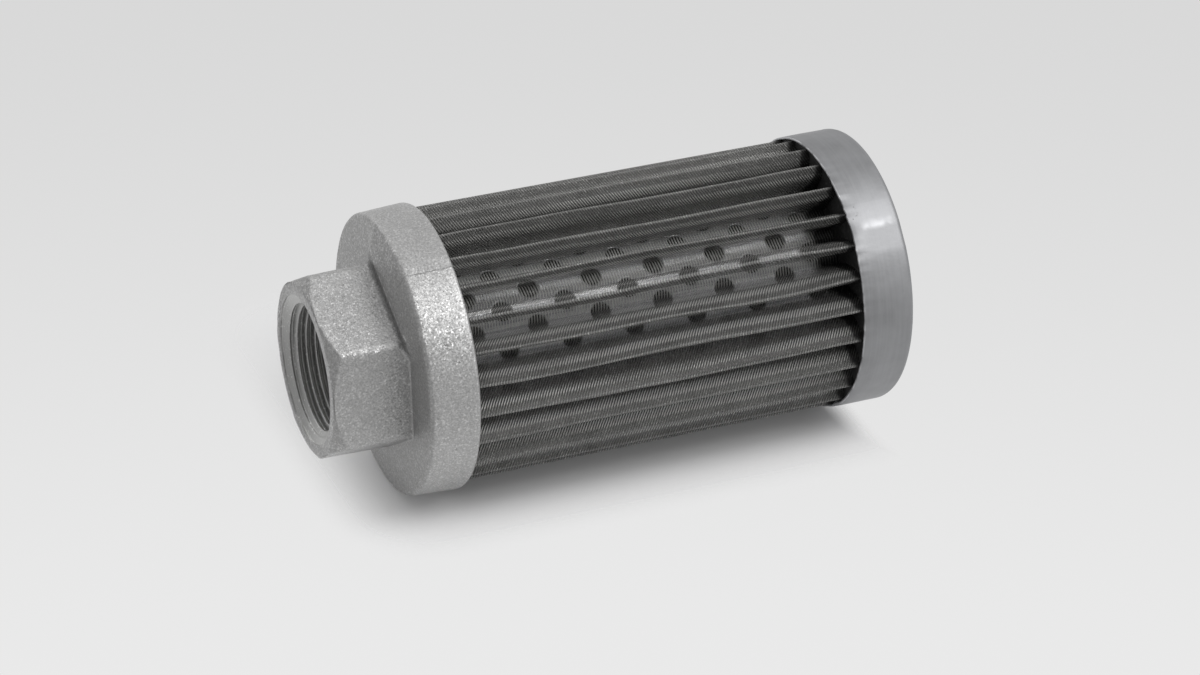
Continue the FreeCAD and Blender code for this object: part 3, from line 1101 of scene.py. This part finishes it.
def half_pleat(offset):
    """Points from the tip to the root in a frame whose x axis runs through the tip."""
    half = math.pi / PLEATS
    tip_r, root_r = TIP_FOLD - CLOTH_SHEET / 2, ROOT_FOLD - CLOTH_SHEET / 2
    tip = Vector((PLEAT_TIP_R - TIP_FOLD, 0))
    root = Vector((math.cos(half), math.sin(half))) * (ROOT_R + ROOT_FOLD)
    span = root - tip
    side = math.atan2(span.y, span.x) + math.asin((tip_r + root_r) / span.length) - math.pi / 2
    points = [circle_point(tip, tip_r + offset, side * k / TIP_STEPS) for k in range(TIP_STEPS + 1)]
    start, end = points[-1], circle_point(root, -(root_r - offset), side)
    for k in range(1, FLANK_STEPS):
        bulge = FLANK_BULGE * math.sin(math.pi * (k / FLANK_STEPS) ** BULGE_SHIFT)
        points.append(circle_point(start.lerp(end, k / FLANK_STEPS), bulge, side))
    leaving, inward = side + math.pi, half + math.pi
    for k in range(ROOT_STEPS + 1):
        points.append(circle_point(root, root_r - offset, leaving + (inward - leaving) * k / ROOT_STEPS))
    return points


def mirrored(half):
    """Both sides of a pleat from the points of one side."""
    return [Vector((p.x, -p.y)) for p in reversed(half)] + half[1:]


def flat_lengths(section):
    """Distance of each point of a pleat from its tip, measured along the sheet in millimetres."""
    lengths = [0.0]
    for a, b in zip(section, section[1:]):
        lengths.append(lengths[-1] + (b - a).length / MM)
    return [abs(length - lengths[-1] / 2) for length in lengths]


print("cloth in one pleat:", round(2 * flat_lengths(mirrored(half_pleat(0)))[0], 1), "mm")

# %% One pleat
def rows_between(low, high):
    return [low + (high - low) * k / PLEAT_ROWS for k in range(PLEAT_ROWS + 1)]


def lifted(section, turn, heights):
    """A flat section, turned about the axis and copied at each height."""
    spin = Matrix.Rotation(turn, 2)
    turned = [spin @ point for point in section]
    return [(x, y, height) for height in heights for x, y in turned]


def make_pleat(turn):
    outer, inner = mirrored(half_pleat(CLOTH_SHEET / 2)), mirrored(half_pleat(-CLOTH_SHEET / 2))
    heights = [CLOTH_LOW] + rows_between(CAP_TOP - IN_CAP, HEAD_LOW + IN_HEAD) + [CLOTH_TOP]
    count, rows = len(outer), len(heights)
    points = lifted(outer, turn, heights) + lifted(inner, turn, heights)
    uv = [(length, height / MM) for height in heights for length in flat_lengths(outer)] * 2
    faces = []
    for row in range(rows - 1):
        for i in range(count - 1):
            a = row * count + i
            b = rows * count + a
            faces.append((a, a + 1, a + 1 + count, a + count))
            faces.append((b, b + count, b + count + 1, b + 1))
    for i in range(count - 1):
        a, b = i, rows * count + i
        faces.append((a, b, b + 1, a + 1))
        a, b = a + (rows - 1) * count, b + (rows - 1) * count
        faces.append((a, a + 1, b + 1, b))
    mesh = bpy.data.meshes.new("pleat")
    mesh.from_pydata(points, [], faces)
    mesh.materials.append(WIRE)
    layer = mesh.uv_layers.new(name="cloth")
    for loop in mesh.loops:
        layer.data[loop.index].uv = uv[loop.vertex_index]
    for polygon in mesh.polygons:
        polygon.use_smooth = True
    made = bpy.data.objects.new("pleat", mesh)
    bpy.context.scene.collection.objects.link(made)
    return made


one_pleat = make_pleat(PLEAT_PHASE)
print("one pleat:", len(one_pleat.data.polygons), "faces")

# %% Ring of pleats
PLEAT_WELD = 0.00002
HELD_LOW, HELD_HIGH = 20 * MM, 12 * MM
PUSH_ROUND, PUSH_UP = 5.0, 14.0


def pleat_tree(sizes, material, name):
    graph = new_tree(name, sizes)
    inlet = graph.inlet
    line = graph.node("GeometryNodeMeshLine", {"Count": inlet["Pleats"], "Offset": (0, 0, 0)})
    index = graph.node("GeometryNodeInputIndex")
    turn = graph.node("ShaderNodeCombineXYZ", [0.0, 0.0, index * inlet["Turn"]])
    pleats = graph.node("GeometryNodeInstanceOnPoints", {"Points": line, "Instance": inlet["Geometry"],
                                                         "Rotation": turn})
    ring = graph.node("GeometryNodeRealizeInstances", [pleats])
    welded = graph.node("GeometryNodeMergeByDistance", {"Geometry": ring, "Distance": PLEAT_WELD})
    place = graph.node("GeometryNodeInputPosition")
    height = place.axis(2)
    flat = graph.vector("MULTIPLY", place, (1, 1, 0))
    out = graph.length(flat).smooth(inlet["Root radius"], inlet["Tip radius"])
    free = height.smooth(inlet["Low"], inlet["Low"] + HELD_LOW)
    free = free * (1.0 - height.smooth(inlet["High"] - HELD_HIGH, inlet["High"]))
    facing = graph.vector("MULTIPLY", graph.vector("NORMALIZE", flat), (PUSH_ROUND, PUSH_ROUND, 0.0))
    lifting = graph.node("ShaderNodeCombineXYZ", [inlet["Seed"], 0.0, height * PUSH_UP])
    spot = graph.vector("ADD", facing, lifting)
    push = graph.node("ShaderNodeTexNoise", {"Vector": spot, "Scale": 1.0, "Detail": 3.0, "Roughness": 0.4})
    lean = (push - 0.5) * inlet["Unevenness"] * out * free + inlet["Root lean"] * (1.0 - out)
    moved = graph.node("ShaderNodeVectorRotate", {"Vector": place, "Angle": lean}, rotation_type="Z_AXIS")
    bent = graph.node("GeometryNodeSetPosition", {"Geometry": welded, "Position": moved})
    end_tree(graph, bent, material)
    return graph


CLOTH_SIZES = {"Pleats": PLEATS, "Turn": math.tau / PLEATS,
               "Root radius": ROOT_R, "Tip radius": PLEAT_TIP_R, "Low": CAP_TOP, "High": HEAD_LOW,
               "Unevenness": math.radians(7.0), "Root lean": math.radians(6.0), "Seed": 4}
cloth = grow(one_pleat, pleat_tree(CLOTH_SIZES, WIRE, "ring_of_pleats"), CLOTH_SIZES, "wire_cloth")
print("UV maps of the cloth:", [layer.name for layer in cloth.data.uv_layers])
finish_piece(cloth, "woven_wire", "pleated_wire_cloth")

# %% [markdown]
# ## Seam clip
# The two ends of the cloth lie back to back in one pleat, and a folded strip grips them. It
# goes through the same tree with a single copy, so it leans with the pleat that it grips.

# %% Clip
CLIP_SHEET = 0.4 * MM
CLIP_PLAY = 0.05 * MM
CLIP_PLEAT = 5
CLIP_POINTS = 8
CLIP_PAST = 0.4
CLIP_CLEAR = 0.6 * MM


def clip_line(offset):
    """One side of the strip, from its one end over the pleat's tip to the other."""
    half = half_pleat(offset)
    end = half[CLIP_POINTS - 1].lerp(half[CLIP_POINTS], CLIP_PAST)
    return mirrored(half[:CLIP_POINTS] + [end])


def make_clip(turn):
    under = clip_line(CLOTH_SHEET / 2 + CLIP_PLAY)
    over = clip_line(CLOTH_SHEET / 2 + CLIP_PLAY + CLIP_SHEET)
    section = over + under[::-1]
    heights = rows_between(CAP_TOP + CLIP_CLEAR, HEAD_LOW - CLIP_CLEAR)
    count = len(section)
    faces = ring_faces(len(heights), count, False)
    faces += [tuple(range(count)), tuple((len(heights) - 1) * count + i for i in reversed(range(count)))]
    return mesh_object("clip_blank", lifted(section, turn, heights), faces, [CLIP_STEEL])


CLIP_SIZES = dict(CLOTH_SIZES, Pleats=1)
clip_blank = make_clip(PLEAT_PHASE + CLIP_PLEAT * math.tau / PLEATS)
clip = grow(clip_blank, pleat_tree(CLIP_SIZES, CLIP_STEEL, "one_clip"), CLIP_SIZES, "side_seam_clip")
finish_piece(clip, "plated_steel", "seam_clip")

# %% [markdown]
# ## Table, light and camera
# In the picture the filter lies on a white table, on the side that is +Y here. The table is a
# pale disc under that side. It takes the shadow near the filter and grows clear further out,
# where an equally pale surround shows, and from below it is clear too. The light is one large
# soft box overhead, a weak one behind, and an even surround. The camera, metal and glass see
# the surround as a pale backdrop, and everything else gets its softer light. The paint's spans
# are in millimetres.

# %% Table
MIDDLE_Z = 0.07
TABLE_SHADE = 0.79
TABLE_R = 0.5
TABLE_STEPS = 64
TABLE_GAP = 0.0001
SHADOW_MIDDLE = (33, 65)
SHADOW_HALF = (46, 53)
SHADOW_FADE = (3, 28)
CAP_END = (3, 13)
THINNEST = 0.07


def table_paint(height):
    """Pale paint that grows clear away from the shadow, before the cap and from below."""
    paint = Finish("pale_table", Roughness=0.9)
    paint.set("Base Color", (TABLE_SHADE, TABLE_SHADE, TABLE_SHADE * 1.005, 1))
    middle = (SHADOW_MIDDLE[0], height / MM, SHADOW_MIDDLE[1])
    off_middle = paint.vector("ABSOLUTE", paint.vector("SUBTRACT", paint.place_mm, middle))
    beyond = paint.vector("SUBTRACT", off_middle, (SHADOW_HALF[0], 0, SHADOW_HALF[1]))
    away = paint.length(paint.vector("MAXIMUM", beyond, (0, 0, 0))).smooth(*SHADOW_FADE)
    past_cap = 1.0 - paint.place_mm.axis(2).smooth(*CAP_END)
    below = paint.node("ShaderNodeNewGeometry", output="Backfacing")
    clear = (THINNEST + away * (1 - THINNEST)).calc("MAXIMUM", past_cap).calc("MAXIMUM", below)
    painted = Value(paint, paint.shader.outputs["BSDF"])
    glass = paint.node("ShaderNodeBsdfTransparent")
    outlet = next(n for n in paint.tree.nodes if n.type == "OUTPUT_MATERIAL")
    paint.feed(outlet.inputs["Surface"], paint.node("ShaderNodeMixShader", [clear, painted, glass]))
    return paint.material


def make_table():
    height = HEAD_R + TABLE_GAP
    centre = Vector((0.0, height, MIDDLE_Z))
    edge = [centre + Vector((math.cos(turn), 0, math.sin(turn))) * TABLE_R for turn in angles(TABLE_STEPS)]
    points = [tuple(point) for point in [centre] + edge]
    faces = [(0, 1 + i, 1 + (i + 1) % TABLE_STEPS) for i in range(TABLE_STEPS)]
    made = mesh_object("table", points, faces, [table_paint(height)], outward=False)
    if made.data.polygons[0].normal.y > 0:
        made.data.flip_normals()
    return made


table = make_table()
print("table under the filter at y =", round(table.data.vertices[0].co.y, 4), "m")

# %% Surround and lamps
BACKDROP, BACKDROP_ABOVE, BACKDROP_END = 0.82, 0.13, 0.32
GLOW, GLOW_ABOVE, GLOW_BELOW, GLOW_LEFT = 0.36, 0.46, 0.20, 0.11
UPWARDS = (0.0, -1.0, 0.0)
LEFT_SIDE = (-0.55, 0.0, -0.6)
HEAD_END = (-0.35, 0.0, 0.94)


def make_surround():
    """A world that lights the filter softly and that camera, metal and glass see as a backdrop."""
    world = bpy.data.worlds.new("pale_surround")
    bpy.context.scene.world = world
    world.use_nodes = True
    world.node_tree.nodes.clear()
    graph = Graph(world.node_tree)
    seen = graph.node("ShaderNodeLightPath", output="Is Camera Ray")
    for kind in ("Is Transmission Ray", "Is Glossy Ray"):
        seen = seen.calc("MAXIMUM", graph.node("ShaderNodeLightPath", output=kind))
    direction = graph.node("ShaderNodeTexCoord")
    up, left, head_end = (graph.dot(direction, axis) for axis in (UPWARDS, LEFT_SIDE, HEAD_END))
    glow = GLOW + up.smooth(-0.1, 1.0) * GLOW_ABOVE + (0.0 - up).smooth(0.0, 0.8) * GLOW_BELOW
    glow = glow + left.smooth(0.0, 1.0) * GLOW_LEFT
    backdrop = BACKDROP - up.smooth(-0.56, -0.38) * BACKDROP_ABOVE
    backdrop = backdrop - head_end.smooth(-0.05, 0.5) * BACKDROP_END
    colour = graph.blend(seen, graph.tinted(glow), graph.tinted(backdrop))
    light = graph.node("ShaderNodeBackground", {"Color": colour, "Strength": 1.0})
    graph.node("ShaderNodeOutputWorld", {"Surface": light})


def make_lamp(name, direction, distance, size, power):
    lamp = bpy.data.lights.new(name, "AREA")
    lamp.shape = "DISK"
    lamp.size = size
    lamp.energy = power
    made = bpy.data.objects.new(name, lamp)
    bpy.context.scene.collection.objects.link(made)
    target = Vector((0, 0, MIDDLE_Z))
    made.location = target + Vector(direction).normalized() * distance
    made.rotation_euler = (target - made.location).to_track_quat("-Z", "Y").to_euler()


make_surround()
make_lamp("soft_box_overhead", (-0.50, -0.80, -0.44), distance=1.0, size=0.6, power=4.25)
make_lamp("soft_box_behind", (0.75, -0.6, 0.3), distance=1.2, size=0.5, power=0.7)
print("lamps and surround set")

# %% [markdown]
# The camera stands where the photographer stood: about 28 degrees above the table and turned
# so that the table is level in the picture. Its place and its turn come from the outlines of
# the head and the cap in the picture, and a long lens keeps the perspective flat.

# %% Camera
CAMERA_PLACE = (-0.7543, -0.4368, 0.3805)
CAMERA_RIGHT = (-0.3823, 0.0, -0.9240)
CAMERA_BACK = (-0.8118, -0.4776, 0.3359)
SENSOR_MM = 36.0
LENS_MM = 114.09
CLIP_END = 10


def make_camera():
    lens = bpy.data.cameras.new("view")
    lens.sensor_width = SENSOR_MM
    lens.lens = LENS_MM
    lens.clip_end = CLIP_END
    made = bpy.data.objects.new("view", lens)
    bpy.context.scene.collection.objects.link(made)
    back = Vector(CAMERA_BACK).normalized()
    up = back.cross(Vector(CAMERA_RIGHT)).normalized()
    turn = Matrix((up.cross(back), up, back)).transposed().to_4x4()
    made.matrix_world = Matrix.Translation(CAMERA_PLACE) @ turn
    bpy.context.scene.camera = made
    return made


camera = make_camera()
bpy.context.scene.view_settings.view_transform = "Standard"
print("camera at", [round(c, 3) for c in camera.location])
